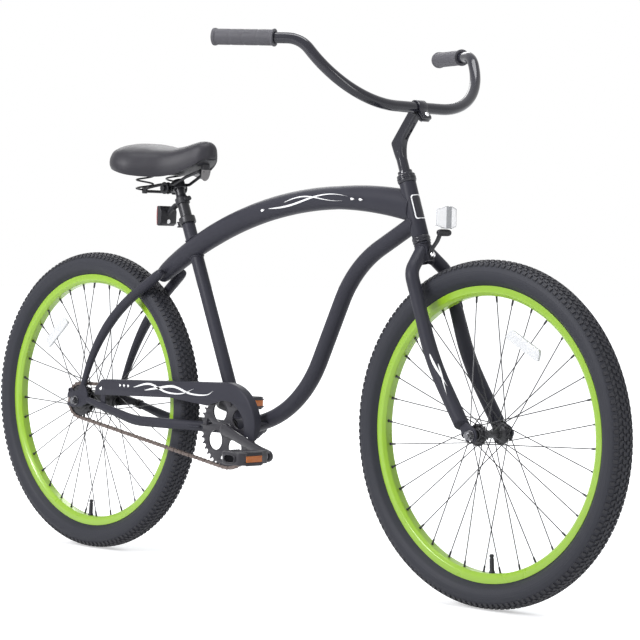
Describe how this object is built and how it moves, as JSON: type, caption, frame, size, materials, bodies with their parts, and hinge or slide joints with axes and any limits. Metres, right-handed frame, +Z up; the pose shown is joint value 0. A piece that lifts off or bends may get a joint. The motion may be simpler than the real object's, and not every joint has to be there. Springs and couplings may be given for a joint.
{
  "type": "bicycle",
  "caption": "Step-over cruiser bicycle with a coaster brake, sprung saddle, swept bars, chain guard and wide tyres on lime rims.",
  "frame": {"origin": "on the ground, midway between the two axles, in the middle plane of the frame", "axes": "+X forward, +Y to the rider's left, +Z up; the steering and the crank at rest"},
  "size_m": [1.862, 0.6794, 1.1137],
  "materials": {
    "charcoal_paint": "satin charcoal enamel",
    "gloss_black": "gloss black enamel",
    "black_steel": "semi-gloss black coated steel",
    "zinc_steel": "bright zinc plate",
    "lime_rim": "gloss lime green",
    "tyre_rubber": "matt black rubber",
    "grip_rubber": "matt dark grey rubber",
    "saddle_vinyl": "grained black vinyl",
    "black_plastic": "moulded black plastic",
    "bronze_chain": "brown oiled steel",
    "clear_lens": "clear prismatic lens",
    "red_lens": "red prismatic lens"
  },
  "bodies": {
    "frame": {"head_tube": "charcoal_paint", "top_tube": "charcoal_paint", "down_tube": "charcoal_paint", "seat_tube": "charcoal_paint", "bottom_bracket_shell": "charcoal_paint", "chain_stay_left": "charcoal_paint", "chain_stay_right": "charcoal_paint", "seat_stay_left": "charcoal_paint", "seat_stay_right": "charcoal_paint", "chain_stay_bridge": "charcoal_paint", "seat_clamp": "black_steel", "bottom_bracket_cup_left": "black_steel", "bottom_bracket_cup_right": "black_steel", "headset_lower_cup": "gloss_black", "headset_upper_cup": "gloss_black", "chain_guard": "charcoal_paint", "coaster_brake_arm": "black_steel", "chain": "bronze_chain", "rear_axle": "zinc_steel", "rear_axle_nut_left": "zinc_steel", "rear_axle_nut_right": "zinc_steel"},
    "fork": {"fork_steerer": "charcoal_paint", "fork_leg_left": "charcoal_paint", "fork_leg_right": "charcoal_paint", "headset_locknut": "gloss_black", "front_axle": "zinc_steel", "front_axle_nut_left": "zinc_steel", "front_axle_nut_right": "zinc_steel", "front_reflector_bracket": "black_plastic", "front_reflector": "clear_lens"},
    "stem": {"stem": "gloss_black"},
    "handlebar": {"handlebar": "gloss_black", "grip_left": "grip_rubber", "grip_right": "grip_rubber"},
    "front_wheel": {"front_tyre": "tyre_rubber", "front_rim": "lime_rim", "front_inner_tube": "tyre_rubber", "front_hub_and_spokes": "black_steel"},
    "rear_wheel": {"rear_tyre": "tyre_rubber", "rear_rim": "lime_rim", "rear_inner_tube": "tyre_rubber", "rear_hub_and_spokes": "black_steel"},
    "rear_sprocket": {"rear_sprocket": "black_steel"},
    "crank": {"crank": "black_steel", "chainring": "black_steel", "pedal_axle_left": "zinc_steel", "pedal_axle_right": "zinc_steel"},
    "pedal_left": {"pedal_left": "black_plastic"},
    "pedal_right": {"pedal_right": "black_plastic"},
    "seat_post": {"seat_post": "black_steel", "saddle_clamp_band": "black_steel", "rear_reflector_bracket": "black_plastic", "rear_reflector": "red_lens"},
    "saddle_frame": {"saddle_clamp_jaws": "black_steel", "saddle_rails": "black_steel", "saddle_spring_left": "black_steel", "saddle_spring_right": "black_steel"},
    "saddle": {"saddle_cover": "saddle_vinyl", "saddle_pan": "black_plastic"}
  },
  "joints": [
    {"name": "steering", "type": "hinge", "parent": "frame", "child": "fork", "pos_m": [0.405, 0, 0.71387], "axis": [-0.3371, 0, 0.9415], "range_deg": [-70, 70]},
    {"name": "stem_height", "type": "slide", "parent": "fork", "child": "stem", "axis": [-0.3371, 0, 0.9415], "range_m": [0, 0.04]},
    {"name": "handlebar_roll", "type": "hinge", "parent": "stem", "child": "handlebar", "pos_m": [0.39251, 0, 0.96857], "axis": [0, 1, 0], "range_deg": [-25, 20]},
    {"name": "front_wheel_spin", "type": "hinge", "parent": "fork", "child": "front_wheel", "pos_m": [0.595, 0, 0.336], "axis": [0, 1, 0], "continuous": true},
    {"name": "rear_wheel_spin", "type": "hinge", "parent": "frame", "child": "rear_wheel", "pos_m": [-0.595, 0, 0.336], "axis": [0, 1, 0], "continuous": true},
    {"name": "crank_spin", "type": "hinge", "parent": "frame", "child": "crank", "pos_m": [-0.09956, 0, 0.3012], "axis": [0, 1, 0], "continuous": true, "deforming": ["chain"]},
    {"name": "rear_sprocket_spin", "type": "hinge", "parent": "frame", "child": "rear_sprocket", "pos_m": [-0.595, 0, 0.336], "axis": [0, 1, 0], "continuous": true},
    {"name": "pedal_left_spin", "type": "hinge", "parent": "crank", "child": "pedal_left", "pos_m": [-0.26422, 0.0832, 0.34348], "axis": [0, 1, 0], "continuous": true},
    {"name": "pedal_right_spin", "type": "hinge", "parent": "crank", "child": "pedal_right", "pos_m": [0.0651, -0.0832, 0.25892], "axis": [0, 1, 0], "continuous": true},
    {"name": "seat_height", "type": "slide", "parent": "frame", "child": "seat_post", "axis": [-0.3848, 0, 0.923], "range_m": [-0.025, 0.06]},
    {"name": "saddle_tilt", "type": "hinge", "parent": "seat_post", "child": "saddle_frame", "pos_m": [-0.33839, 0, 0.81485], "axis": [0, 1, 0], "range_deg": [-12, 12]},
    {"name": "saddle_springing", "type": "hinge", "parent": "saddle_frame", "child": "saddle", "pos_m": [-0.24399, 0, 0.84995], "axis": [0, 1, 0], "range_deg": [-4, 0], "stiffness_Nm_per_rad": 400, "deforming": ["saddle_spring_left", "saddle_spring_right"]}
  ],
  "couplings": [
    {"joint": "rear_sprocket_spin", "follows": "crank_spin", "ratio": 2.1053}
  ]
}
